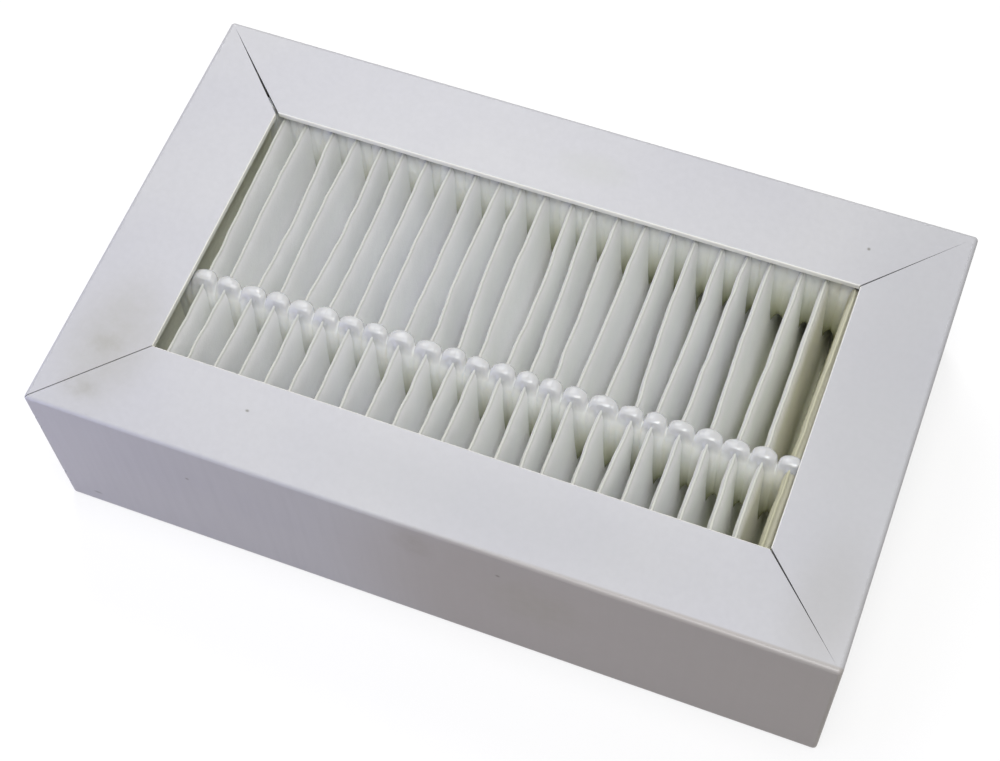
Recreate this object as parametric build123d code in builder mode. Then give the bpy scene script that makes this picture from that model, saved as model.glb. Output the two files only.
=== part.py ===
from build123d import *
from math import asin, atan2, cos, hypot, sin
import os

# Pleated panel air filter, millimetres. The origin is the middle of the underside,
# +X runs along the length, +Y to the rear and +Z towards the upstream face.

# ---- frame: one plastic channel, notched, folded round the pack and closed at one corner
frame_length = 190.0
frame_width = 113.0
frame_depth = 50.0
frame_wall = 1.5
lip_width = 22.0
fold_radius = 1.0  # outside radius where the channel's web is folded
section_radius = 1.0  # outside radius of the channel's section
lip_edge_radius = 0.35
mitre_rear_left = 0.75  # gap of each mitre at the lip's free edge
mitre_rear_right = 0.35
mitre_front_right = 0.45
closing_gap = 0.25  # front left, where the two ends of the channel meet
nick_bite = 0.7  # how far the nicks reach into the closing corner
nick_length = 2.6
nick_heights = (7.0, 12.0, 35.5, 40.5)

# ---- pleated sheet
sheet_thickness = 0.45
pleat_count = 30
fold_mid_radius = 0.38  # of the circle that a fold's flats touch, at the middle of the sheet
end_gap = 0.5  # from the last valley to the end wall
crest_setback = 1.3  # from a fold to the inside of the lip it faces

# ---- hot-melt separator beads, laid in rows across the pleats on both faces
bead_offset = 12.5  # from the middle of the filter to the front row
bead_spacing = 50.5  # from the front row to the rear row
bead_clearance = 0.1  # from the top of a bead to the lip above it
lump_width = 4.0  # bead where it wraps a fold
lump_rise = 1.4  # from the saddle between two folds to the top of a lump
lump_depth = 3.2
web_depth = 13.0  # how far below the folds the bead fills the space between two pleats
web_thickness = 2.4

# ---- adhesive that seals the pack in the channel
side_bed = 2.5  # thickness on the long walls
end_seal_height = 30.0

# ---- worked out from the sizes above
inner_length = frame_length - 2 * frame_wall
inner_width = frame_width - 2 * frame_wall
inner_depth = frame_depth - 2 * frame_wall
opening_length = frame_length - 2 * lip_width
opening_width = frame_width - 2 * lip_width
middle = frame_depth / 2

pleat_pitch = (inner_length - 2 * end_gap) / pleat_count
half_pitch = pleat_pitch / 2
pack_half_length = pleat_pitch * pleat_count / 2
outer_fold = fold_mid_radius + sheet_thickness / 2
inner_fold = fold_mid_radius - sheet_thickness / 2
crest_height = inner_depth / 2 - crest_setback  # from the middle of the filter
fold_centre = crest_height - outer_fold
sheet_length = inner_width - 2 * side_bed
crests = [(i + 0.5) * pleat_pitch - pack_half_length for i in range(pleat_count)]
valleys = [i * pleat_pitch - pack_half_length for i in range(1, pleat_count)]

# The flanks are the crossed tangents of the circles of neighbouring folds.
fold_distance = hypot(half_pitch, 2 * fold_centre)
flank_tilt = atan2(half_pitch, 2 * fold_centre) - asin(2 * fold_mid_radius / fold_distance)


# ---- frame
with BuildPart() as frame:
    Box(frame_length, frame_width, frame_depth, align=(Align.CENTER, Align.CENTER, Align.MIN))
    fillet(frame.edges().filter_by(Axis.Z), radius=fold_radius)
    rims = frame.faces().filter_by(Axis.Z).edges()
    fillet(rims, radius=section_radius)
    with BuildSketch(Plane.XY.offset(frame_wall)):
        Rectangle(inner_length, inner_width)
    extrude(amount=inner_depth, mode=Mode.SUBTRACT)
    with BuildSketch():
        Rectangle(opening_length, opening_width)
    extrude(amount=frame_depth, mode=Mode.SUBTRACT)
    lip_faces = frame.faces().filter_by(Axis.Z).group_by(Axis.Z)
    for outside in (lip_faces[0], lip_faces[-1]):
        free_edges = outside.edges().filter_by(
            lambda e: abs(e.center().X) < opening_length / 2 + lip_edge_radius
            and abs(e.center().Y) < opening_width / 2 + lip_edge_radius
        )
        fillet(free_edges, radius=lip_edge_radius)
    # the lips' mitres close up towards the folded corners
    with BuildSketch():
        for side_x, side_y, gap in (
            (-1, 1, mitre_rear_left),
            (1, 1, mitre_rear_right),
            (1, -1, mitre_front_right),
        ):
            corner = Vector(side_x * opening_length / 2, side_y * opening_width / 2)
            fold = Vector(side_x * inner_length / 2, side_y * inner_width / 2)
            along = (fold - corner).normalized()
            across = Vector(-along.Y, along.X) * gap / 2
            start = corner - along * gap
            with BuildLine():
                Polyline(start + across, fold, start - across, close=True)
            make_face()
    extrude(amount=frame_depth, mode=Mode.SUBTRACT)
    # the closing corner is open right through
    closing_corner = Vector(-frame_length / 2, -frame_width / 2)
    closing_start = Vector(-opening_length / 2, -opening_width / 2)
    inwards = (closing_start - closing_corner).normalized()
    half_gap = Vector(-inwards.Y, inwards.X) * closing_gap / 2
    inner_end = closing_start + inwards * closing_gap
    outer_end = closing_corner - inwards * closing_gap
    with BuildSketch():
        with BuildLine():
            Polyline(
                inner_end + half_gap,
                outer_end + half_gap,
                outer_end - half_gap,
                inner_end - half_gap,
                close=True,
            )
        make_face()
    extrude(amount=frame_depth, mode=Mode.SUBTRACT)
    # nicks where the cut ends were pressed together
    edge_set_in = fold_radius * (2**0.5 - 1)
    with BuildSketch(Plane(closing_corner, x_dir=inwards, z_dir=inwards.cross(Vector(0, 0, 1)))):
        for height in nick_heights:
            with BuildLine():
                Polyline(
                    (0, height - nick_length / 2),
                    (edge_set_in + nick_bite, height),
                    (0, height + nick_length / 2),
                    close=True,
                )
            make_face()
    extrude(amount=fold_radius, both=True, mode=Mode.SUBTRACT)
frame.part.label = "frame"


# ---- pleated sheet: every fold is scored twice, so that it is a narrow flat between two flanks
def score_lines(fold_x, fold_end, radius):
    """The two corners of a fold whose flat and flanks touch a circle of this radius."""
    reach = radius * (1 - sin(flank_tilt)) / cos(flank_tilt)
    return [(fold_x - reach, fold_end), (fold_x + reach, fold_end)]


def sheet_line(crest_radius, valley_radius):
    """Corners of one face of the sheet, from the left end flank to the right one."""
    low, high = middle - fold_centre, middle + fold_centre
    end_reach = half_pitch + (crest_radius - 2 * fold_mid_radius) / cos(flank_tilt)
    points = [(crests[0] - end_reach, low)]
    for crest_x, valley_x in zip(crests, valleys):
        points += score_lines(crest_x, high + crest_radius, crest_radius)
        points += score_lines(valley_x, low - valley_radius, valley_radius)
    points += score_lines(crests[-1], high + crest_radius, crest_radius)
    return points + [(crests[-1] + end_reach, low)]


upper_line = sheet_line(outer_fold, inner_fold)
lower_line = sheet_line(inner_fold, outer_fold)

with BuildPart() as pleated_media:
    with BuildSketch(Plane.XZ):
        with BuildLine():
            Polyline(*upper_line, *reversed(lower_line), close=True)
        make_face()
    extrude(amount=sheet_length / 2, both=True)
pleated_media.part.label = "pleated_media"


# ---- what lies on each side of the sheet
with BuildSketch(Plane.XZ) as below_sheet:
    with BuildLine():
        Polyline(*upper_line, (pack_half_length, 0), (-pack_half_length, 0), close=True)
    make_face()

with BuildSketch(Plane.XZ) as above_sheet:
    with BuildLine():
        top_right, top_left = (pack_half_length, frame_depth), (-pack_half_length, frame_depth)
        Polyline(*lower_line, top_right, top_left, close=True)
    make_face()


# ---- separator beads: a row wraps every fold it crosses and hangs between the pleats
def bead_row(row_y, folds, facing, behind):
    """One row at row_y across folds that face up (1) or down (-1), clear of what lies behind."""
    row_plane = Plane.XZ.offset(-row_y)
    tip = middle + facing * (inner_depth / 2 - bead_clearance)
    neck = tip - facing * lump_rise
    shoulder = tip - facing * lump_depth
    root = middle + facing * (crest_height - web_depth)
    with BuildPart() as row:
        with BuildSketch(row_plane):
            with BuildLine():
                for fold_x in folds:
                    ThreePointArc(
                        (fold_x - half_pitch, neck), (fold_x, tip), (fold_x + half_pitch, neck)
                    )
                first, last = folds[0] - half_pitch, folds[-1] + half_pitch
                Polyline((first, neck), (first, shoulder), (last, shoulder), (last, neck))
            make_face()
        extrude(amount=lump_width / 2, both=True)
        with BuildSketch(row_plane):
            with Locations((0, (neck + root) / 2)):
                Rectangle(folds[-1] - folds[0], abs(neck - root))
        extrude(amount=web_thickness / 2, both=True)
        extrude(behind.sketch, amount=inner_width / 2, both=True, mode=Mode.SUBTRACT)
    return row


front_row = -bead_offset
rear_row = bead_spacing - bead_offset
bead_top_front = bead_row(front_row, crests, 1, below_sheet)
bead_top_rear = bead_row(rear_row, crests, 1, below_sheet)
bead_bottom_front = bead_row(front_row, valleys, -1, above_sheet)
bead_bottom_rear = bead_row(rear_row, valleys, -1, above_sheet)
bead_top_front.part.label = "bead_top_front"
bead_top_rear.part.label = "bead_top_rear"
bead_bottom_front.part.label = "bead_bottom_front"
bead_bottom_rear.part.label = "bead_bottom_rear"


# ---- adhesive beds along the long walls, which the ends of the pleats are stuck to
def side_seal(side):
    with BuildPart() as bed:
        with BuildSketch(Plane.XY.offset(frame_wall)):
            Rectangle(inner_length, inner_width)
            with Locations((0, -side * side_bed)):
                Rectangle(inner_length, inner_width, mode=Mode.SUBTRACT)
        extrude(amount=inner_depth)
    return bed


side_seal_front = side_seal(-1)
side_seal_rear = side_seal(1)
side_seal_front.part.label = "side_seal_front"
side_seal_rear.part.label = "side_seal_rear"


# ---- adhesive between the end walls and the last flank of the pack
def end_seal(side):
    with BuildPart() as seal:
        with BuildSketch(Plane.XZ):
            with Locations((side * (inner_length / 2 + crests[-1]) / 2, middle)):
                Rectangle(inner_length / 2 - crests[-1], end_seal_height)
        extrude(amount=sheet_length / 2, both=True)
        extrude(below_sheet.sketch, amount=inner_width / 2, both=True, mode=Mode.SUBTRACT)
    return seal


end_seal_left = end_seal(-1)
end_seal_right = end_seal(1)
end_seal_left.part.label = "end_seal_left"
end_seal_right.part.label = "end_seal_right"


os.makedirs("parts", exist_ok=True)
export_step(frame.part, "parts/frame.step")
export_step(pleated_media.part, "parts/pleated_media.step")
export_step(bead_top_front.part, "parts/bead_top_front.step")
export_step(bead_top_rear.part, "parts/bead_top_rear.step")
export_step(bead_bottom_front.part, "parts/bead_bottom_front.step")
export_step(bead_bottom_rear.part, "parts/bead_bottom_rear.step")
export_step(side_seal_front.part, "parts/side_seal_front.step")
export_step(side_seal_rear.part, "parts/side_seal_rear.step")
export_step(end_seal_left.part, "parts/end_seal_left.step")
export_step(end_seal_right.part, "parts/end_seal_right.step")
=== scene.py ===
from math import radians

import bpy
import numpy as np
from mathutils import Euler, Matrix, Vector, noise


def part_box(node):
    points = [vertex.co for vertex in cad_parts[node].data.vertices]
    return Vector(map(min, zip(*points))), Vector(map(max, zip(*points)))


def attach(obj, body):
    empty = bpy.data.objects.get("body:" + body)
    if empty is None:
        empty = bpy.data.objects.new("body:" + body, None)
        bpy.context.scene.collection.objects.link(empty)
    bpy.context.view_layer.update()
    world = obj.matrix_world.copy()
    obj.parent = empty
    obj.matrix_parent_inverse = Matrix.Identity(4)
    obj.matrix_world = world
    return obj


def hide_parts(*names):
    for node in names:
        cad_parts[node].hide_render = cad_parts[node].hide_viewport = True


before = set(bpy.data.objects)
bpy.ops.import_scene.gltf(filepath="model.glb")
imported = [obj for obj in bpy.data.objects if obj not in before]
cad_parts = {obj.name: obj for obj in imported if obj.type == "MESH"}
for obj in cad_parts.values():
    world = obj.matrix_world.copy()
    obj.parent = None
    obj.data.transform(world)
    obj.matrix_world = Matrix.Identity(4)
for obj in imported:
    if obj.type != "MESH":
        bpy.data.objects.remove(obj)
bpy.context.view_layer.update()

mm = 0.001

# a pleated panel air filter: the CAD's frame and seals stay and get their finishes, and the pleated
# sheet and the rows of separators are modelled anew in the places of their CAD solids

# the filter lies on its downstream face, and the opening in its upstream face looks up
lipWidth = 22 * mm
frameLow, frameHigh = (Vector(corner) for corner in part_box("frame"))
openingCorner = frameHigh - Vector((lipWidth, lipWidth, 0))
mediaLow, mediaHigh = (Vector(corner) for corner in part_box("pleated_media"))
beadLow, beadHigh = (Vector(corner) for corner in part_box("bead_top_front"))
midHeight = (frameLow.z + frameHigh.z) / 2

# a Mix node's sockets for colours go by number
factor, colourA, colourB, colourOut = 0, 6, 7, 2
mixColours = {"data_type": "RGBA"}
multiplyColours = {"data_type": "RGBA", "blend_type": "MULTIPLY"}


def linear(hexColour):
    channels = [int(hexColour[i:i + 2], 16) / 255 for i in (1, 3, 5)]
    return tuple(c / 12.92 if c <= 0.04045 else ((c + 0.055) / 1.055) ** 2.4 for c in channels) + (1.0,)


def addNode(tree, kind, settings=None, values=None, links=None, stops=()):
    node = tree.nodes.new("ShaderNode" + kind)
    for name, value in (settings or {}).items():
        setattr(node, name, value)
    for socket, value in (values or {}).items():
        node.inputs[socket].default_value = value
    for socket, source in (links or {}).items():
        tree.links.new(source, node.inputs[socket])
    for i, (position, colour) in enumerate(stops):
        step = node.color_ramp.elements[i] if i < 2 else node.color_ramp.elements.new(position)
        step.position = position
        step.color = linear(colour)
    return node


def newMaterial(name):
    material = bpy.data.materials.new(name)
    material.use_nodes = True
    material.node_tree.nodes.clear()
    return material, material.node_tree


def quads(a, b, c, d):
    return np.stack([part.ravel() for part in (a, b, c, d)], axis=1)


# gapDepth is how deep each point lies in the gap that it faces
def meshObject(name, points, faces, material, ends=(), gapDepth=None):
    mesh = bpy.data.meshes.new(name)
    mesh.from_pydata(points.tolist(), [], [*faces.tolist(), *ends])
    if gapDepth is not None:
        mesh.attributes.new("gapDepth", "FLOAT", "POINT").data.foreach_set("value", gapDepth.ravel())
    mesh.shade_smooth()
    mesh.materials.append(material)
    piece = bpy.data.objects.new(name, mesh)
    bpy.context.scene.collection.objects.link(piece)
    return piece


# the camera is about 0.45 m off and looks down over the front right corner
view = {
    "place": (0.08929, -0.20032, 0.42499),  # metres
    "turn": (28.330, 2.043, 20.935),  # degrees about X, Y and Z
    "lens": 68.756,  # millimetres
}
cameraData = bpy.data.cameras.new("camera")
cameraData.lens = view["lens"]
camera = bpy.data.objects.new("camera", cameraData)
camera.location = view["place"]
camera.rotation_euler = Euler([radians(angle) for angle in view["turn"]])
bpy.context.scene.collection.objects.link(camera)
bpy.context.scene.camera = camera
bpy.context.scene.view_settings.view_transform = "Standard"

lightBounces = 40  # white pleats pass the light on many times
bpy.context.scene.cycles.max_bounces = lightBounces
bpy.context.scene.cycles.diffuse_bounces = lightBounces
print("camera set")


# a soft box beside the camera, a small lamp above the lens, a weaker soft box behind the left,
# a cool card at the front left and a dim room
overThePack = (0.0, 0.0, 0.04)
studio = {
    "room": "#c7c6c6",
    "roomStrength": 0.40,
    "roomSeen": "#ffffff",
    "floorSize": 6.0,  # metres, as the lamps' places and sizes are
    "paper": "#a79c91",  # what the floor throws back at the filter
    "paperSeen": "#fdfdfd",
    "floorSeen": 0.72,  # share of the floor's tone that stays white in the shadow
    "lamps": {
        "besideCamera": {"place": (0.13, -0.13, 1.12), "aim": overThePack, "size": 0.5, "watts": 7.4,
                         "colour": "#ffffff"},
        "aboveLens": {"place": (0.10, -0.24, 0.56), "aim": overThePack, "size": 0.14, "watts": 0.47,
                      "colour": "#ffffff"},
        "behindLeft": {"place": (-0.24, 0.44, 0.70), "aim": overThePack, "size": 0.4, "watts": 2.55,
                       "colour": "#fbfbff"},
        "leftCard": {"place": (-0.25, -0.23, 0.10), "aim": (-0.09, -0.06, 0.03), "size": 0.2,
                     "watts": 0.32, "colour": "#c6caff"},
    },
}
for name, lamp in studio["lamps"].items():
    lampData = bpy.data.lights.new(name, "AREA")
    lampData.shape = "DISK"
    lampData.size = lamp["size"]
    lampData.energy = lamp["watts"]
    lampData.color = linear(lamp["colour"])[:3]
    light = bpy.data.objects.new(name, lampData)
    light.location = lamp["place"]
    light.rotation_euler = (Vector(lamp["aim"]) - light.location).to_track_quat("-Z", "Y").to_euler()
    bpy.context.scene.collection.objects.link(light)


# the room is white behind the filter and dim where it lights it
def dimRoom():
    world = bpy.data.worlds.new("studio room")
    world.use_nodes = True
    tree = world.node_tree
    tree.nodes.clear()
    seen = addNode(tree, "LightPath").outputs["Is Camera Ray"]
    tone = addNode(tree, "Mix", mixColours,
                   values={colourA: linear(studio["room"]), colourB: linear(studio["roomSeen"])},
                   links={factor: seen})
    power = addNode(tree, "MapRange", values={"To Min": studio["roomStrength"], "To Max": 1.0},
                    links={"Value": seen})
    room = addNode(tree, "Background",
                   links={"Color": tone.outputs[colourOut], "Strength": power.outputs["Result"]})
    addNode(tree, "OutputWorld", links={"Surface": room.outputs[0]})
    return world


# matt paper, which the eye takes as plain white and which still holds a soft contact shadow
def paperSweep():
    material, tree = newMaterial("white paper sweep")
    rays = addNode(tree, "LightPath")
    mirrored = addNode(tree, "Math", {"operation": "MAXIMUM"},
                       links={0: rays.outputs["Is Glossy Ray"], 1: rays.outputs["Is Transmission Ray"]})
    seen = addNode(tree, "Math", {"operation": "MAXIMUM"},
                   links={0: rays.outputs["Is Camera Ray"], 1: mirrored.outputs[0]})
    tone = addNode(tree, "Mix", mixColours,
                   values={colourA: linear(studio["paper"]), colourB: linear(studio["paperSeen"])},
                   links={factor: seen.outputs[0]})
    paper = addNode(tree, "BsdfDiffuse", links={"Color": tone.outputs[colourOut]})
    white = addNode(tree, "Emission", values={"Color": linear("#ffffff"), "Strength": 1.0})
    share = addNode(tree, "Math", {"operation": "MULTIPLY"}, values={1: studio["floorSeen"]},
                    links={0: seen.outputs[0]})
    mixed = addNode(tree, "MixShader",
                    links={0: share.outputs[0], 1: paper.outputs[0], 2: white.outputs[0]})
    addNode(tree, "OutputMaterial", links={"Surface": mixed.outputs[0]})
    return material


bpy.context.scene.world = dimRoom()
floorHalf = studio["floorSize"] / 2
floorCorners = np.array([(x * floorHalf, y * floorHalf, 0) for x, y in ((-1, -1), (1, -1), (1, 1), (-1, 1))])
floor = meshObject("floor", floorCorners, np.array([(0, 1, 2, 3)]), paperSweep())
print("studio lit")


# the frame: one extruded channel, folded round the pack
channel = {
    "colour": "#bbbbbd",
    "cloud": "#b7b7bb",  # faint cooler clouds in the plastic
    "cloudSize": 45 * mm,
    "scuffSize": (1.4 * mm, 1.4 * mm, 30 * mm),  # faint scuffs down the walls
    "scuff": "#fbfbfb",
    "paintedLitEdge": "#f4f3ea",  # painted light: a lip's free edge is painted paler than the skin, as where light catches it
    "litEdgeReach": (0.1 * mm, 0.3 * mm),  # from the free edge to where its colour begins and ends to fade
    "roughness": (0.41, 0.44),
    "ior": 1.53,
    "grainSize": 0.9 * mm,  # the real grain is finer than this, which is as fine as the render shows
    "grainStrength": 0.06,
    "grainHeight": 0.05 * mm,
    "patchSize": 3.5 * mm,  # inside a smudge
    "patchThinner": 0.7,  # share of cover that the patchiest smudge loses and gains in its patches
    "patchThicker": 0.15,
    "markCore": 0.15,  # a mark is at its full cover up to this share of its half size
}
# handling marks and patches of painted shade: place and half size in mm, how far the colour covers the
# plastic and how patchily
marksAndPaintedShade = (
    # painted shade: the front wall is painted darker and warmer from its middle to its right end, where less
    # light falls
    {"place": (95, -56.5, 22), "half": (125, 2, 90), "colour": "#9d958d", "cover": 0.66, "patchy": 0.0,
     "core": 0.7},
    {"place": (-82, -36, 50), "half": (15, 25, 3), "colour": "#9a988d", "cover": 0.42, "patchy": 0.4},
    {"place": (-83.5, -37.6, 50), "half": (6, 4, 2), "colour": "#949288", "cover": 0.30, "patchy": 1.0},
    {"place": (-83.7, -49.7, 50), "half": (7, 4, 2), "colour": "#949288", "cover": 0.35, "patchy": 1.0},
    {"place": (88, -42, 50), "half": (12, 25, 3), "colour": "#a09e99", "cover": 0.40, "patchy": 0.1},
    # painted shade: the next two grey the whole right lip and the front lip, where the light falls off
    {"place": (86, 5, 50), "half": (26, 85, 4), "colour": "#a9aaac", "cover": 0.42, "patchy": 0.0},
    {"place": (15, -46, 50), "half": (75, 15, 4), "colour": "#a9aaac", "cover": 0.40, "patchy": 0.1},
    {"place": (5, 44.5, 50), "half": (13, 6, 2), "colour": "#a3a898", "cover": 0.18, "patchy": 0.4},
    {"place": (-45.7, -42.4, 50), "half": (0.7, 0.5, 0.5), "colour": "#6e6c62", "cover": 0.8, "patchy": 0.0},
    {"place": (72.1, 44.7, 50), "half": (0.6, 0.6, 0.5), "colour": "#6e6c62", "cover": 0.8, "patchy": 0.0},
    {"place": (-1, -56.5, 42), "half": (7, 2, 10), "colour": "#857a6c", "cover": 0.26, "patchy": 0.8},
    {"place": (27, -56.5, 30), "half": (16, 2, 17), "colour": "#8f8a74", "cover": 0.22, "patchy": 0.6},
    {"place": (19, -56.5, 40), "half": (0.8, 1, 0.8), "colour": "#5e584e", "cover": 0.7, "patchy": 0.0},
    {"place": (-57, -56.5, 34.5), "half": (0.7, 1, 0.7), "colour": "#5e584e", "cover": 0.6, "patchy": 0.0},
    {"place": (-86.8, -56.5, 5.5), "half": (1.6, 1, 0.8), "colour": "#66625a", "cover": 0.6, "patchy": 0.5},
    {"place": (-95, -56.5, 25), "half": (1.3, 1.3, 32), "colour": "#77736a", "cover": 0.75, "patchy": 1.0},
    {"place": (95, -56.5, 25), "half": (1.1, 1.1, 32), "colour": "#88847c", "cover": 0.6, "patchy": 1.0},
)


def smudgedOrShaded(tree, place, patches, finish, mark):
    around = addNode(tree, "Mapping", {"vector_type": "TEXTURE"},
                     values={"Location": [side * mm for side in mark["place"]],
                             "Scale": [side * mm for side in mark["half"]]},
                     links={"Vector": place})
    away = addNode(tree, "VectorMath", {"operation": "LENGTH"}, links={0: around.outputs[0]})
    fade = addNode(tree, "MapRange", {"interpolation_type": "SMOOTHSTEP"},
                   values={"From Min": 1.0, "From Max": mark.get("core", channel["markCore"]),
                           "To Max": mark["cover"]},
                   links={"Value": away.outputs["Value"]})
    patchy = addNode(tree, "MapRange",
                     values={"From Min": 0.3, "From Max": 0.65,
                             "To Min": 1 - channel["patchThinner"] * mark["patchy"],
                             "To Max": 1 + channel["patchThicker"] * mark["patchy"]},
                     links={"Value": patches})
    cover = addNode(tree, "Math", {"operation": "MULTIPLY"},
                    links={0: fade.outputs["Result"], 1: patchy.outputs["Result"]})
    return addNode(tree, "Mix", mixColours, values={colourB: linear(mark["colour"])},
                   links={factor: cover.outputs[0], colourA: finish}).outputs[colourOut]


# extruded ABS has a satin skin, which spreads the lamps into soft gradients
def satinAbs():
    material, tree = newMaterial("ABS, satin extruded")
    place = addNode(tree, "TexCoord").outputs["Object"]
    clouds = addNode(tree, "TexNoise", values={"Scale": 1 / channel["cloudSize"], "Detail": 3.0},
                     links={"Vector": place})
    cloudTone = addNode(tree, "ValToRGB", stops=((0.35, channel["colour"]), (0.65, channel["cloud"])),
                        links={"Fac": clouds.outputs["Fac"]})
    scuffSpace = addNode(tree, "Mapping", values={"Scale": [1 / size for size in channel["scuffSize"]]},
                         links={"Vector": place})
    scuffs = addNode(tree, "TexNoise", values={"Scale": 1.0, "Detail": 2.0},
                     links={"Vector": scuffSpace.outputs[0]})
    scuffTone = addNode(tree, "ValToRGB", stops=((0.3, channel["scuff"]), (0.7, "#ffffff")),
                        links={"Fac": scuffs.outputs["Fac"]})
    scuffed = addNode(tree, "Mix", multiplyColours, values={factor: 1.0},
                      links={colourA: cloudTone.outputs["Color"], colourB: scuffTone.outputs["Color"]})

    # how far a point lies outside the opening tells the lip's free edge, which gets the painted light, from
    # the skin
    fromMiddle = addNode(tree, "SeparateXYZ", links={0: place})
    outside = []
    for axis, reach in (("X", openingCorner.x), ("Y", openingCorner.y)):
        away = addNode(tree, "Math", {"operation": "ABSOLUTE"}, links={0: fromMiddle.outputs[axis]})
        outside.append(addNode(tree, "Math", {"operation": "SUBTRACT"}, values={1: reach},
                               links={0: away.outputs[0]}))
    furthest = addNode(tree, "Math", {"operation": "MAXIMUM"},
                       links={0: outside[0].outputs[0], 1: outside[1].outputs[0]})
    litEdgeStart, litEdgeEnd = channel["litEdgeReach"]
    litEdgeMask = addNode(tree, "MapRange", values={"From Min": litEdgeEnd, "From Max": litEdgeStart},
                     links={"Value": furthest.outputs[0]})
    # painted light on the lips' free edges
    finish = addNode(tree, "Mix", mixColours, values={colourB: linear(channel["paintedLitEdge"])},
                     links={factor: litEdgeMask.outputs["Result"],
                            colourA: scuffed.outputs[colourOut]}).outputs[colourOut]

    patches = addNode(tree, "TexNoise",
                      values={"Scale": 1 / channel["patchSize"], "Detail": 4.0, "Roughness": 0.6},
                      links={"Vector": place}).outputs["Fac"]
    for mark in marksAndPaintedShade:
        finish = smudgedOrShaded(tree, place, patches, finish, mark)

    smoothest, roughest = channel["roughness"]
    gloss = addNode(tree, "MapRange",
                    values={"From Min": 0.3, "From Max": 0.7, "To Min": smoothest, "To Max": roughest},
                    links={"Value": patches})
    grain = addNode(tree, "TexNoise", values={"Scale": 1 / channel["grainSize"], "Detail": 2.0},
                    links={"Vector": place})
    skin = addNode(tree, "Bump",
                   values={"Strength": channel["grainStrength"], "Distance": channel["grainHeight"]},
                   links={"Height": grain.outputs["Fac"]})
    shader = addNode(tree, "BsdfPrincipled", values={"IOR": channel["ior"]},
                     links={"Base Color": finish, "Roughness": gloss.outputs["Result"],
                            "Normal": skin.outputs["Normal"]})
    addNode(tree, "OutputMaterial", links={"Surface": shader.outputs[0]})
    return material


absSkin = satinAbs()
for slot in bpy.data.objects["frame"].material_slots:
    slot.material = absSkin
print("frame finished")


# the adhesive beds along the walls
sealing = {
    "colour": "#e2dcc4",
    "thin": "#cfc7a6",  # where it was poured thinly
    "waveSize": 7 * mm,
    "waveStrength": 0.4,
    "waveHeight": 0.3 * mm,
    "roughness": 0.35,
    "ior": 1.5,
}


# cast polyurethane is cream and slightly glossy, with slow waves where it set
def castPolyurethane():
    material, tree = newMaterial("polyurethane, cast")
    place = addNode(tree, "TexCoord").outputs["Object"]
    waves = addNode(tree, "TexNoise", values={"Scale": 1 / sealing["waveSize"], "Detail": 3.0},
                    links={"Vector": place})
    tone = addNode(tree, "ValToRGB", stops=((0.35, sealing["thin"]), (0.6, sealing["colour"])),
                   links={"Fac": waves.outputs["Fac"]})
    skin = addNode(tree, "Bump",
                   values={"Strength": sealing["waveStrength"], "Distance": sealing["waveHeight"]},
                   links={"Height": waves.outputs["Fac"]})
    shader = addNode(tree, "BsdfPrincipled",
                     values={"Roughness": sealing["roughness"], "IOR": sealing["ior"]},
                     links={"Base Color": tone.outputs["Color"], "Normal": skin.outputs["Normal"]})
    addNode(tree, "OutputMaterial", links={"Surface": shader.outputs[0]})
    return material


castSeal = castPolyurethane()
for node in ("side_seal_front", "side_seal_rear", "end_seal_left", "end_seal_right"):
    for slot in bpy.data.objects[node].material_slots:
        slot.material = castSeal
print("seals cast")


# the pleated sheet
pleats = {
    "count": 30,
    "thickness": 0.30 * mm,
    "foldRadius": 0.17 * mm,  # middle of the sheet
    "crestSteps": 4,  # faces round a crest and round a valley
    "valleySteps": 2,
    "rows": 62,  # of points along each pleat
    "downFlank": (0.02, 0.045, 0.08, 0.13, 0.21, 0.36, 0.56, 0.78),  # points from a crest to a valley
    "belly": 0.5 * mm,  # a flank bulges most a little below its crest
    "bellyPlace": 0.09,  # as a share of the way down
    "pushedOver": {"fold": 54, "belly": 1.5 * mm},  # the flank beside the right lip
    "swell": 0.25 * mm,  # slow waves along the flanks, out of step with their neighbours
    "swellLength": 9 * mm,
    "swellStep": 2.1,
    "held": 6 * mm,  # the glue keeps a flank from swelling this near to its rows
    "crumple": 0.25 * mm,  # short bends along the folds
    "crumpleLength": 5 * mm,
    "crumpleStep": (3.7, 0.61),  # through the noise, from one fold to the next
    "underLip": 0.4,  # share of its lean that a crest keeps at the walls
    "hiddenStray": 0.3,  # mm, for the crests under the end lips
    "valleyFollows": 0.25,  # of the leans of the two crests beside it, added up
    "valleyStray": 0.2,  # mm
    "seed": 7,  # of the strays
}
# how far each crest in the opening leans off its even place, in mm, from the left:
# at the rear lip, half way to the separator, at the separator and at the front lip
leans = (
    (-0.2, 0.3, 1.0, 1.0), (-0.7, -0.6, 0.1, -0.2), (0.1, 1.4, 1.0, 0.4), (0.2, -0.1, 0.5, 0.4),
    (0.8, 1.4, 0.5, 0.5), (0.1, 0.7, 0.4, 0.3), (0.1, 0.4, 0.6, 0.6), (0.0, -0.2, 0.3, 0.4),
    (0.3, 0.6, 0.6, 0.7), (0.3, 0.0, 1.2, 0.9), (-0.4, -0.2, 1.4, 1.1), (-0.5, -0.4, 0.5, 0.4),
    (0.0, 1.1, 0.7, 0.6), (-1.2, -0.2, 0.4, 0.6), (-0.9, -0.7, -0.2, 0.4), (-0.5, -0.4, -0.9, -0.9),
    (0.0, 0.4, -0.2, 0.0), (-0.4, -0.3, 0.8, 0.0), (-0.1, 0.0, -0.6, -0.8), (-0.3, -0.4, -0.6, -0.3),
    (-0.8, -0.8, -0.2, -0.1), (0.6, 0.4, 0.0, 0.4), (0.1, 0.0, 0.0, -0.2), (0.9, 0.5, 0.0, -0.3),
)
pitch = (beadHigh.x - beadLow.x) / pleats["count"]
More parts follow.
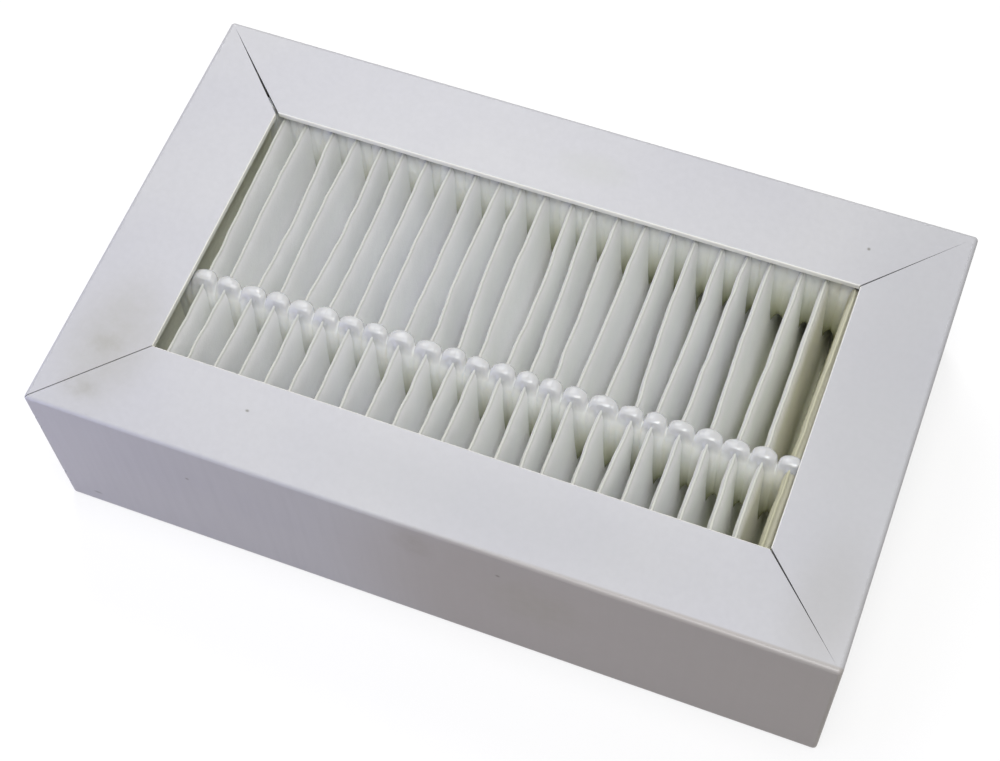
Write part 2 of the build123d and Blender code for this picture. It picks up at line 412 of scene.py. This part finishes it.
foldReach = pleats["foldRadius"] + pleats["thickness"] / 2
crestLevel = mediaHigh.z - foldReach
valleyLevel = mediaLow.z + foldReach
foldCount = 2 * pleats["count"] + 1  # an end, then a crest and a valley in turn, then the other end


def rowMiddle(node):
    low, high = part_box(node)
    return (low[1] + high[1]) / 2


frontRow, rearRow = rowMiddle("bead_top_front"), rowMiddle("bead_top_rear")
lipEdge = openingCorner.y
leanPlaces = np.array([mediaLow.y, -lipEdge, frontRow, (frontRow + lipEdge) / 2, lipEdge, mediaHigh.y])


# every fold's lean at the lean places
def foldLeans():
    rng = np.random.default_rng(pleats["seed"])
    knots = np.zeros((foldCount, len(leanPlaces)))
    firstSeen = (pleats["count"] - len(leans)) // 2
    hiddenStray, valleyStray, underLip = pleats["hiddenStray"], pleats["valleyStray"], pleats["underLip"]
    for pleat in range(pleats["count"]):
        if 0 <= pleat - firstSeen < len(leans):
            rear, between, bead, front = leans[pleat - firstSeen]
        else:
            rear, between, bead, front = rng.uniform(-hiddenStray, hiddenStray, 4)
        knots[2 * pleat + 1] = (front * underLip, front, bead, between, rear, rear * underLip)
    for valley in range(2, foldCount - 1, 2):
        beside = knots[valley - 1] + knots[valley + 1]
        stray = rng.uniform(-valleyStray, valleyStray, len(leanPlaces))
        knots[valley] = beside * pleats["valleyFollows"] + stray
    return knots * mm


leanKnots = foldLeans()
leanSlopes = np.gradient(leanKnots, leanPlaces, axis=1)


# a smooth curve through the knots on each side of y
def leanAt(y):
    k = int(np.clip(np.searchsorted(leanPlaces, y) - 1, 0, len(leanPlaces) - 2))
    span = leanPlaces[k + 1] - leanPlaces[k]
    t = (y - leanPlaces[k]) / span
    return ((1 + 2 * t) * (1 - t) ** 2 * leanKnots[:, k] + t * (1 - t) ** 2 * span * leanSlopes[:, k]
            + t * t * (3 - 2 * t) * leanKnots[:, k + 1] + t * t * (t - 1) * span * leanSlopes[:, k + 1])


# where the folds' circles have their middles in the section at y
def foldsAt(y):
    stepX, stepY = pleats["crumpleStep"]
    crumple = [noise.noise((stepX * fold, stepY * fold + y / pleats["crumpleLength"], 0))
               * pleats["crumple"] for fold in range(foldCount)]
    x = (np.arange(foldCount) - (foldCount - 1) / 2) * pitch / 2 + leanAt(y) + crumple
    z = np.where(np.arange(foldCount) % 2 == 1, crestLevel, valleyLevel).astype(float)
    return x, z


# a flank is a crossed tangent of the circles of two neighbouring folds
def tiltsBetween(x, z):
    across, down = np.diff(x), np.abs(np.diff(z))
    return np.arctan2(across, down) - np.arcsin(2 * pleats["foldRadius"] / np.hypot(across, down))


def foldAngles(fold, tilts):
    if fold == 0:
        return np.array([np.pi / 2 - tilts[0]])
    if fold == foldCount - 1:
        return np.array([tilts[-1] - np.pi / 2])
    steps = pleats["crestSteps"] if fold % 2 == 1 else pleats["valleySteps"]
    return np.linspace(tilts[fold - 1] - np.pi / 2, np.pi / 2 - tilts[fold], steps + 1)


# the points of the flank that leads to a fold: how far along it they lie and how far they stand out
def flankShape(fold, y):
    downFlank = np.array(pleats["downFlank"])[:, None]
    leadsDown = fold % 2 == 0
    along = downFlank if leadsDown else 1 - downFlank[::-1]
    fromCrest = along if leadsDown else 1 - along
    pushedOver = fold == pleats["pushedOver"]["fold"]
    most = pleats["pushedOver"]["belly"] if pushedOver else pleats["belly"]
    belly = most * fromCrest / pleats["bellyPlace"] * np.exp(1 - fromCrest / pleats["bellyPlace"])
    loose = min(1 - np.exp(-((y - row) / pleats["held"]) ** 2) for row in (frontRow, rearRow))
    wave = np.sin(fold * pleats["swellStep"] + y / pleats["swellLength"])
    return along, loose * pleats["swell"] * np.sin(np.pi * along) * wave + belly


# the middle of the sheet in the section at y, and which way is up from it
def sheetSection(y):
    x, z = foldsAt(y)
    tilts = tiltsBetween(x, z)
    points, normals = [], []
    for fold in range(foldCount):
        up = 1 if fold % 2 == 1 else -1
        angles = foldAngles(fold, tilts)
        arc = np.stack([x[fold] + pleats["foldRadius"] * np.sin(angles),
                        z[fold] + up * pleats["foldRadius"] * np.cos(angles)], axis=1)
        facing = np.stack([up * np.sin(angles), np.cos(angles)], axis=1)
        if fold > 0:
            along, standOut = flankShape(fold, y)
            points.append(points[-1][-1:] * (1 - along) + arc[:1] * along + standOut * facing[:1])
            normals.append(np.repeat(facing[:1], len(along), axis=0))
        points.append(arc)
        normals.append(facing)
    return np.concatenate(points), np.concatenate(normals)


fleece = {
    "gapBottom": 40 * mm,
    # painted shade: the fleece is painted yellower and darker towards the bottom of a gap, for light that
    # gets deep into it and has met a lot of fleece, and greyer at the crests' edge, which tones down their
    # highlight: from the bottom of a gap up to the crests
    "paintedGapShade": ((0.0, "#e6e7dc"), (0.25, "#f6f7f3"), (0.45, "#fbfbfb"), (0.62, "#fefeff"),
                 (0.81, "#feffff"), (0.98, "#ffffff"), (0.995, "#d4d5ce")),
    # painted shade: the fleece under the left lip is painted yellower, and the strip beside the right lip
    # and under it beige, where the lips shade it; the left of the pack is a little greyer towards the left
    # lip: from this far left of the middle to as far right of it
    "packReach": 100 * mm,
    "paintedShadeAlongPack": ((0.12, "#fffff4"), (0.14, "#fbfbfb"), (0.36, "#fefeff"), (0.5, "#ffffff"),
                  (0.75, "#ffffff"), (0.842, "#fefefb"), (0.848, "#e4e1c6"), (0.855, "#e4e1c6"),
                  (0.859, "#f1eed8")),
    "clumpSize": 4 * mm,  # the fibres are laid in loose clumps
    "clumpTones": ((0.3, "#fcfcfd"), (0.55, "#ffffff")),
    "clumpHeight": 0.35 * mm,
    "fibreSize": 0.6 * mm,  # fibres are some 0.03 mm thick, drawn coarse enough to show
    "fibreHeight": 0.12 * mm,
    "bumpStrength": 0.35,
    "roughness": 0.9,
    "through": "#fefeff",
    "throughShare": 0.2,
}


# calendered polyester fleece is matt and milky, and lets some light through
def calenderedFleece():
    material, tree = newMaterial("polyester fleece, calendered")
    place = addNode(tree, "TexCoord").outputs["Object"]
    gapDepth = addNode(tree, "Attribute", {"attribute_name": "gapDepth"})
    upGap = addNode(tree, "MapRange", values={"From Min": fleece["gapBottom"], "From Max": 0.0},
                    links={"Value": gapDepth.outputs["Fac"]})
    # painted shade by depth in the gap, and on the crests
    gapTone = addNode(tree, "ValToRGB", stops=fleece["paintedGapShade"], links={"Fac": upGap.outputs["Result"]})
    sides = addNode(tree, "SeparateXYZ", links={0: place})
    alongPack = addNode(tree, "MapRange",
                        values={"From Min": -fleece["packReach"], "From Max": fleece["packReach"]},
                        links={"Value": sides.outputs["X"]})
    # painted shade beside and under the lips
    packTone = addNode(tree, "ValToRGB", stops=fleece["paintedShadeAlongPack"],
                       links={"Fac": alongPack.outputs["Result"]})
    clumps = addNode(tree, "TexNoise",
                     values={"Scale": 1 / fleece["clumpSize"], "Detail": 4.0, "Roughness": 0.65},
                     links={"Vector": place})
    clumpTone = addNode(tree, "ValToRGB", stops=fleece["clumpTones"], links={"Fac": clumps.outputs["Fac"]})
    tinted = addNode(tree, "Mix", multiplyColours, values={factor: 1.0},
                     links={colourA: gapTone.outputs["Color"], colourB: packTone.outputs["Color"]})
    tone = addNode(tree, "Mix", multiplyColours, values={factor: 1.0},
                   links={colourA: tinted.outputs[colourOut], colourB: clumpTone.outputs["Color"]})
    fibres = addNode(tree, "TexNoise", values={"Scale": 1 / fleece["fibreSize"], "Detail": 3.0},
                     links={"Vector": place})
    felt = addNode(tree, "Bump",
                   values={"Strength": fleece["bumpStrength"], "Distance": fleece["clumpHeight"]},
                   links={"Height": clumps.outputs["Fac"]})
    nap = addNode(tree, "Bump",
                  values={"Strength": fleece["bumpStrength"], "Distance": fleece["fibreHeight"]},
                  links={"Height": fibres.outputs["Fac"], "Normal": felt.outputs["Normal"]})
    shader = addNode(tree, "BsdfPrincipled", values={"Roughness": fleece["roughness"]},
                     links={"Base Color": tone.outputs[colourOut], "Normal": nap.outputs["Normal"]})
    through = addNode(tree, "BsdfTranslucent", values={"Color": linear(fleece["through"])},
                      links={"Normal": nap.outputs["Normal"]})
    mixed = addNode(tree, "MixShader", values={0: fleece["throughShare"]},
                    links={1: shader.outputs[0], 2: through.outputs[0]})
    addNode(tree, "OutputMaterial", links={"Surface": mixed.outputs[0]})
    return material


def foldSheet():
    upper, lower = [], []
    for y in np.linspace(mediaLow.y, mediaHigh.y, pleats["rows"]):
        middle, facing = sheetSection(y)
        for face, side in ((upper, 0.5), (lower, -0.5)):
            line = middle + facing * pleats["thickness"] * side
            face.append(np.stack([line[:, 0], np.full(len(line), y), line[:, 1]], axis=1))
    upper, lower = np.array(upper), np.array(lower)
    over = np.arange(upper.shape[0] * upper.shape[1]).reshape(upper.shape[:2])
    under = over + over.size
    faces = np.concatenate([
        quads(over[:-1, :-1], over[:-1, 1:], over[1:, 1:], over[1:, :-1]),
        quads(under[:-1, :-1], under[1:, :-1], under[1:, 1:], under[:-1, 1:]),
        quads(over[0, :-1], under[0, :-1], under[0, 1:], over[0, 1:]),
        quads(over[-1, :-1], over[-1, 1:], under[-1, 1:], under[-1, :-1]),
        quads(over[:-1, 0], over[1:, 0], under[1:, 0], under[:-1, 0]),
        quads(over[:-1, -1], under[:-1, -1], under[1:, -1], over[1:, -1]),
    ])
    points = np.concatenate([upper.reshape(-1, 3), lower.reshape(-1, 3)])
    gapDepth = np.concatenate([mediaHigh.z - upper[:, :, 2], lower[:, :, 2] - mediaLow.z])
    sheet = meshObject("pleated_sheet", points, faces, calenderedFleece(), gapDepth=gapDepth)
    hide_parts("pleated_media")
    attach(sheet, "root")
    print("pleats folded:", len(faces), "faces")


foldSheet()


# hot-melt separators: a string laid over the flat sheet, which hugs each fold once the sheet is
# pleated and meets the string of the next fold half way across the gap
string = {
    "bite": 0.15 * mm,  # how far the glue sinks into the sheet
    "beside": 0.93,  # its thickness on a flank as a share of half the gap
    "above": 1.15 * mm,  # and over a fold
    "halfWidth": 2.1 * mm,
    "uneven": {"beside": (-0.01, 0.03), "above": (-0.2, 0.0), "halfWidth": (-0.08, 0.08)},  # shares
    "shift": 0.2 * mm,  # from its row's line, at each fold
    "wander": 0.3 * mm,  # and slowly along the row
    "wanderLength": 11 * mm,
    "ripple": 0.14 * mm,  # drawn streaks that run down the gaps
    "rippleWidth": 0.9 * mm,
    "rippleLength": 12 * mm,
    "rippleStart": 1.5 * mm,  # below the top of a section
    "merge": 0.5,  # how early two strings that meet run into one, 0 to 1
    "mergeDepth": 1 * mm,
    "fillet": 0.45,  # share of the half width by which it spreads where it wets the sheet
    "filletEnd": 0.4,  # and the share of its thickness over which the spread dies out
    # the side towards the front, which it was drawn to
    "nearFill": 8.0,  # 2 leaves the string round, more fills it out
    "nearFillAt": 0.35,  # of the way down
    "nearShare": (0.62, 1.45),  # of the half width, at the folds and further down the gaps
    "nearDepth": 6.0 * mm,
    "nearEase": 0.6,
    "drop": 26.0 * mm,  # from the folds to its foot between two pleats
    "arch": 2.5 * mm,  # the foot hangs higher in the middle of a gap
    "hangBelow": 3.75 * mm,  # the foot is rounded where it is no higher than this above its lowest
    "footRound": 3.0 * mm,
    "footTaper": 0.9,
    "rim": (0.0, 1.2, 2.8, 5.0, 7.6, 10.4, 14.0, 19.0),  # mm below a fold, sections down its flanks
    "rimEnd": 0.5 * mm,  # the last of them keeps this far above the foot
    "overFold": (1.1, 7),  # half angle in radians and sections over a fold
    "gapSections": 14,
    "levels": 18,  # points down each side of a section, closer together near its top
    "levelEase": 1.8,
    "skinSteps": 120,  # heights tried to find the top of a section
    "leastWeight": 0.001,  # of a string where its glue ends
}
glue = {
    # painted shade: the thin skirt between two pleats is painted dim and olive towards its foot, as if the
    # dim gap behind it showed through, and the lumps' tops are painted greyer: from its foot up to the lumps
    # over the folds
    "paintedGapShade": ((0.0, "#9c9e7c"), (0.2, "#b2b493"), (0.45, "#dadbcb"), (0.68, "#f2f3ec"),
                 (0.9, "#f3f4f1"), (0.99, "#c2c3c3")),
    "streakSize": (0.5 * mm, 0.9 * mm, 9.0 * mm),
    "streakStrength": 0.35,
    "streakHeight": 0.15 * mm,
    "roughness": 0.24,
    "ior": 1.48,
    "milky": 0.7,
    "lightReach": (1.6, 1.5, 1.3),  # how far red, green and blue get into it, times lightScale
    "lightScale": 2.0 * mm,
}


# set EVA hot melt is waxy and milky: light soaks into its lumps, and they keep a soft glint
def setHotMelt():
    material, tree = newMaterial("EVA hot melt, set")
    place = addNode(tree, "TexCoord").outputs["Object"]
    streaks = addNode(tree, "Mapping", values={"Scale": [1 / size for size in glue["streakSize"]]},
                      links={"Vector": place})
    drawn = addNode(tree, "TexNoise", values={"Scale": 1.0, "Detail": 2.0},
                    links={"Vector": streaks.outputs[0]})
    skin = addNode(tree, "Bump",
                   values={"Strength": glue["streakStrength"], "Distance": glue["streakHeight"]},
                   links={"Height": drawn.outputs["Fac"]})
    gapDepth = addNode(tree, "Attribute", {"attribute_name": "gapDepth"})
    upGap = addNode(tree, "MapRange", values={"From Min": string["drop"], "From Max": 0.0},
                    links={"Value": gapDepth.outputs["Fac"]})
    # painted shade: darker towards the skirt's foot, greyer on the lumps' tops
    tone = addNode(tree, "ValToRGB", stops=glue["paintedGapShade"], links={"Fac": upGap.outputs["Result"]})
    shader = addNode(tree, "BsdfPrincipled",
                     values={"Roughness": glue["roughness"], "IOR": glue["ior"],
                             "Subsurface Weight": glue["milky"],
                             "Subsurface Radius": glue["lightReach"],
                             "Subsurface Scale": glue["lightScale"]},
                     links={"Base Color": tone.outputs["Color"], "Normal": skin.outputs["Normal"]})
    addNode(tree, "OutputMaterial", links={"Surface": shader.outputs[0]})
    return material


# the folds that a row crosses, measured up from the side that it lies on, and the glue on each
def crossedFolds(node, facing, seed):
    rowY = rowMiddle(node)
    x, z = foldsAt(rowY)
    z = midHeight + facing * (z - midHeight)
    tilts = tiltsBetween(x, z)
    folds = np.arange(1 if facing > 0 else 2, foldCount - 1, 2)
    between = np.concatenate([[pitch], np.diff(x[folds]), [pitch]])
    random, uneven = np.random.default_rng(seed), string["uneven"]
    beside = string["beside"] * (1 + random.uniform(*uneven["beside"], len(between)))
    above = string["above"] * (1 + random.uniform(*uneven["above"], len(folds)))
    halfWidth = string["halfWidth"] * (1 + random.uniform(*uneven["halfWidth"], len(folds)))
    shift = random.uniform(-string["shift"], string["shift"], len(folds))
    return {
        "y": rowY, "seed": seed, "x": x[folds], "z": z[folds],
        "leftTilt": tilts[folds - 1], "rightTilt": tilts[folds],
        "beside": (between / 2 - foldReach) * beside,  # left of each fold, and right of the last
        "above": above, "halfWidth": halfWidth, "shift": shift,
        "foot": crestLevel + foldReach - string["drop"],
    }


# 0 on the sheet and 1 at the skin of the string that hugs fold k
def gluedness(row, px, pz, k):
    away, rise = abs(px - row["x"][k]), pz - row["z"][k]
    if px < row["x"][k]:
        tilt, beside = row["leftTilt"][k], row["beside"][k]
    else:
        tilt, beside = row["rightTilt"][k], row["beside"][k + 1]
    if rise < 0:
        return (away - foldReach / np.cos(tilt) + rise * np.tan(tilt)) / beside
    ring = np.hypot(away / (foldReach + beside), rise / (foldReach + row["above"][k]))
    sheetRing = foldReach / (foldReach + beside)
    return (ring - sheetRing) / (1 - sheetRing)


def skinHeight(row, px, k):
    heights = np.linspace(row["foot"], row["z"][k] + foldReach + row["above"][k], string["skinSteps"])
    inside = [pz for pz in heights if gluedness(row, px, pz, k) <= 1]
    return max(inside, default=None)


# places along the row and the lowest glue there: down one flank, across the gap and up the next
def sectionPlaces(row):
    places = []
    reach = foldReach - string["bite"]
    halfAngle, overSteps = string["overFold"]
    for k, (foldX, foldZ) in enumerate(zip(row["x"], row["z"])):
        leftTilt, rightTilt = row["leftTilt"][k], row["rightTilt"][k]
        rim = foldZ - np.array(string["rim"]) * mm
        rim = [*rim[rim > row["foot"] + string["rimEnd"]], row["foot"]]
        left = [(foldX - reach / np.cos(leftTilt) - (foldZ - pz) * np.tan(leftTilt), pz) for pz in rim]
        right = [(foldX + reach / np.cos(rightTilt) + (foldZ - pz) * np.tan(rightTilt), pz) for pz in rim]
        over = [(foldX + reach * np.sin(angle), foldZ + reach * np.cos(angle))
                for angle in np.linspace(-halfAngle, halfAngle, overSteps)]
        if k > 0:
            startX, endX = places[-1][0], left[-1][0]
            for part in np.linspace(0, 1, string["gapSections"])[1:-1]:
                footHeight = row["foot"] + string["arch"] * np.sin(np.pi * part)
                places.append((startX + (endX - startX) * part, footHeight))
        places += [*left[::-1], *over, *right]
    return [(px, max(pz, row["foot"])) for px, pz in places]


# how far the glue reaches to the front and to the rear at one point of a section, and its middle
def glueWidths(row, px, pz, depth, lift, nearFolds):
    shares = [(min(gluedness(row, px, pz, k), 1.0), k) for k in nearFolds]
    share, k = min(shares)
    share = max(share, 0)
    apart = abs(shares[0][0] - shares[1][0])
    merging = max(1 - apart / string["merge"], 0) ** 2 * min(depth / string["mergeDepth"], 1)
    melted = max(share - string["merge"] / 4 * merging, 0)
    belowFold = row["z"][k] + foldReach - pz
    sunk = np.clip(belowFold / string["nearDepth"], 0, 1) ** string["nearEase"]
    fill = np.interp(sunk, (0, string["nearFillAt"]), (2.0, string["nearFill"]))
    wetting = string["fillet"] * max(1 - melted / string["filletEnd"], 0) ** 2
    toFront = (row["halfWidth"][k] * (np.sqrt(1 - melted ** fill) + wetting)
               * np.sqrt(1 - string["footTaper"] * lift ** 2) * np.interp(sunk, (0, 1), string["nearShare"]))
    toRear = row["halfWidth"][k] * np.sqrt(1 - share ** 2)
    weights = np.array([max(1 - each, string["leastWeight"]) for each, _ in shares])
    shift = np.dot(weights, [row["shift"][fold] for _, fold in shares]) / weights.sum()
    return toFront, toRear, shift


def sectionRing(row, px, foot):
    nearFolds = np.argsort(np.abs(row["x"] - px))[:2]
    tops = [skinHeight(row, px, k) for k in nearFolds]
    top = max(height for height in tops if height is not None)
    depths = np.linspace(0, 1, string["levels"]) ** string["levelEase"] * (top - foot)
    hanging = foot < row["foot"] + string["hangBelow"]
    widths, ripples = [], []
    for depth in depths:
        pz = top - depth
        lift = max(1 - (pz - foot) / string["footRound"], 0) if hanging else 0
        widths.append(glueWidths(row, px, pz, depth, lift, nearFolds))
        streak = noise.noise((px / string["rippleWidth"], depth / string["rippleLength"], row["seed"]))
        ripples.append(string["ripple"] * streak * min(depth / string["rippleStart"], 1))
    toFront, toRear, shift = np.array(widths).T
    toFront[0] = toRear[0] = 0
    wander = string["wander"] * noise.noise((px / string["wanderLength"], row["seed"], 0))
    middleY = row["y"] + wander + shift - np.array(ripples)
    placeX = np.full(string["levels"], px)
    front = np.stack([placeX, middleY - toFront, top - depths], axis=1)
    rear = np.stack([placeX, middleY + toRear, top - depths], axis=1)
    return np.concatenate([front, rear[:0:-1]])


def laySeparator(node, facing, seed, material):
    row = crossedFolds(node, facing, seed)
    rings = np.array([sectionRing(row, px, foot) for px, foot in sectionPlaces(row)])
    rings[:, :, 2] = midHeight + facing * (rings[:, :, 2] - midHeight)
    count, around = rings.shape[:2]
    number = np.arange(count * around).reshape(count, around)
    turned = np.roll(number, -1, axis=1)
    faces = quads(number[:-1], turned[:-1], turned[1:], number[1:])
    ends = [number[0][::-1].tolist(), number[-1].tolist()]
    if facing < 0:
        faces, ends = faces[:, ::-1], [end[::-1] for end in ends]
    gapDepth = mediaHigh.z - rings[:, :, 2] if facing > 0 else rings[:, :, 2] - mediaLow.z
    name = "separator_" + node.removeprefix("bead_")
    piece = meshObject(name, rings.reshape(-1, 3), faces, material, ends, gapDepth)
    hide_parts(node)
    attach(piece, "root")


hotMelt = setHotMelt()
beadRows = (("bead_top_front", 1), ("bead_top_rear", 1), ("bead_bottom_front", -1), ("bead_bottom_rear", -1))
for seed, (node, facing) in enumerate(beadRows, start=1):
    laySeparator(node, facing, seed, hotMelt)
print("separators laid")
